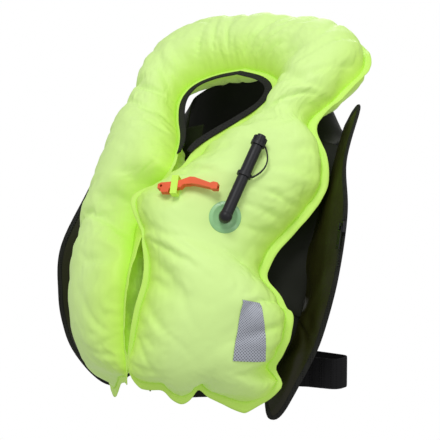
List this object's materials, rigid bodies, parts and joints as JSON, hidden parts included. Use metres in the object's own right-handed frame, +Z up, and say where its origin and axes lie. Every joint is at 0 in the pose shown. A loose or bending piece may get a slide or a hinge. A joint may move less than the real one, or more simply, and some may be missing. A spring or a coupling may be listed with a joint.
{
  "type": "life jacket",
  "caption": "Inflated vest life jacket: welded horseshoe bladder with oral tube and whistle, open zip cover behind it, waist belt and gas inflator.",
  "frame": {"origin": "centre of the neck opening, where the jacket rests on the wearer's shoulders", "axes": "+Z up, -Y the wearer's front, +X the wearer's left"},
  "size_m": [0.4747, 0.3666, 0.5522],
  "materials": {
    "bladder_nylon": "satin coated nylon, neon yellow-green",
    "carrier_nylon": "matte woven nylon",
    "cover_nylon": "semi-gloss coated nylon lining",
    "binding_tape": "grosgrain edge tape",
    "webbing": "woven polyester webbing",
    "zipper_plastic": "moulded teeth",
    "black_metal": "black painted zinc",
    "black_plastic": "moulded acetal",
    "flange_film": "translucent welded film",
    "tube_rubber": "satin moulded elastomer",
    "valve_plastic": "moulded",
    "spring_steel": "bright",
    "whistle_plastic": "satin moulded orange",
    "reflective_tape": "retro-reflective film with a printed dot grid",
    "cylinder_steel": "zinc plated",
    "lever_plastic": "moulded yellow",
    "cartridge_paper": "pressed paper"
  },
  "bodies": {
    "jacket": {"bladder": "bladder_nylon", "neck_binding": "binding_tape", "neck_yoke": "carrier_nylon", "carrier_panel_left": "carrier_nylon", "carrier_panel_right": "carrier_nylon", "cover_flap_left": "cover_nylon", "cover_flap_right": "cover_nylon", "edge_tape_left": "binding_tape", "edge_tape_right": "binding_tape", "zipper_chain_left": "zipper_plastic", "zipper_chain_right": "zipper_plastic", "belt_webbing": "webbing", "belt_lead": "webbing", "belt_loop_left": "webbing", "belt_loop_right": "webbing", "buckle_female": "black_plastic", "oral_flange": "flange_film", "oral_tube": "tube_rubber", "valve_body": "black_plastic", "valve_spring": "spring_steel", "tether_ring": "tube_rubber", "cap_tether": "tube_rubber", "whistle_keeper": "bladder_nylon", "reflective_patch": "reflective_tape", "manifold": "black_plastic", "inflator_body": "black_plastic", "cap_nut": "black_plastic", "lever_pin": "spring_steel", "cartridge": "cartridge_paper"},
    "dust_cap": {"dust_cap": "tube_rubber"},
    "valve_plunger": {"valve_poppet": "valve_plastic"},
    "whistle": {"whistle": "whistle_plastic"},
    "zipper_slider": {"zipper_slider": "black_metal"},
    "zipper_pull": {"zipper_pull": "black_metal"},
    "belt_adjuster": {"belt_adjuster": "black_plastic"},
    "buckle_male": {"buckle_male": "black_plastic"},
    "co2_cylinder": {"co2_cylinder": "cylinder_steel"},
    "firing_lever": {"firing_lever": "lever_plastic"},
    "piercing_pin": {"piercing_pin": "spring_steel"},
    "cartridge_cap": {"cartridge_cap": "lever_plastic"}
  },
  "joints": [
    {"name": "dust_cap_pull", "type": "slide", "parent": "jacket", "child": "dust_cap", "axis": [0.0999, 0.5192, 0.8488], "range_m": [0, 0.026], "deforming": ["cap_tether"]},
    {"name": "valve_press", "type": "slide", "parent": "jacket", "child": "valve_plunger", "axis": [-0.0999, -0.5192, -0.8488], "range_m": [0, 0.003], "stiffness_N_per_m": 300, "springref_m": -0.002, "deforming": ["valve_spring"]},
    {"name": "whistle_pull", "type": "slide", "parent": "jacket", "child": "whistle", "axis": [-0.9357, -0.3509, -0.0366], "range_m": [0, 0.045]},
    {"name": "zipper_slide", "type": "slide", "parent": "jacket", "child": "zipper_slider", "axis": [-0.0446, -0.1598, -0.9861], "range_m": [-0.012, 0.03]},
    {"name": "zipper_pull_flip", "type": "hinge", "parent": "zipper_slider", "child": "zipper_pull", "pos_m": [0.21804, -0.03169, -0.12632], "axis": [-0.9366, 0.3502, -0.0144], "range_deg": [0, 150]},
    {"name": "belt_adjust", "type": "slide", "parent": "jacket", "child": "belt_adjuster", "axis": [1, 0, 0], "range_m": [-0.06, 0.12]},
    {"name": "buckle_release", "type": "slide", "parent": "jacket", "child": "buckle_male", "axis": [1, 0, 0], "range_m": [0, 0.03], "deforming": ["belt_lead"]},
    {"name": "cylinder_draw", "type": "slide", "parent": "jacket", "child": "co2_cylinder", "axis": [0, 0, -1], "range_m": [0, 0.014]},
    {"name": "lever_swing", "type": "hinge", "parent": "jacket", "child": "firing_lever", "pos_m": [-0.18383, -0.06135, -0.20102], "axis": [-0.8481, 0.5298, 0], "range_deg": [0, 85]},
    {"name": "piercing_push", "type": "slide", "parent": "jacket", "child": "piercing_pin", "axis": [0, 0, -1], "range_m": [0, 0.0035]},
    {"name": "cartridge_cap_turn", "type": "hinge", "parent": "jacket", "child": "cartridge_cap", "pos_m": [-0.17461, -0.04659, -0.20302], "axis": [0, 0, 1], "range_deg": [0, 60]}
  ],
  "couplings": [
    {"joint": "piercing_push", "follows": "lever_swing", "m_per_rad": 0.0022}
  ]
}
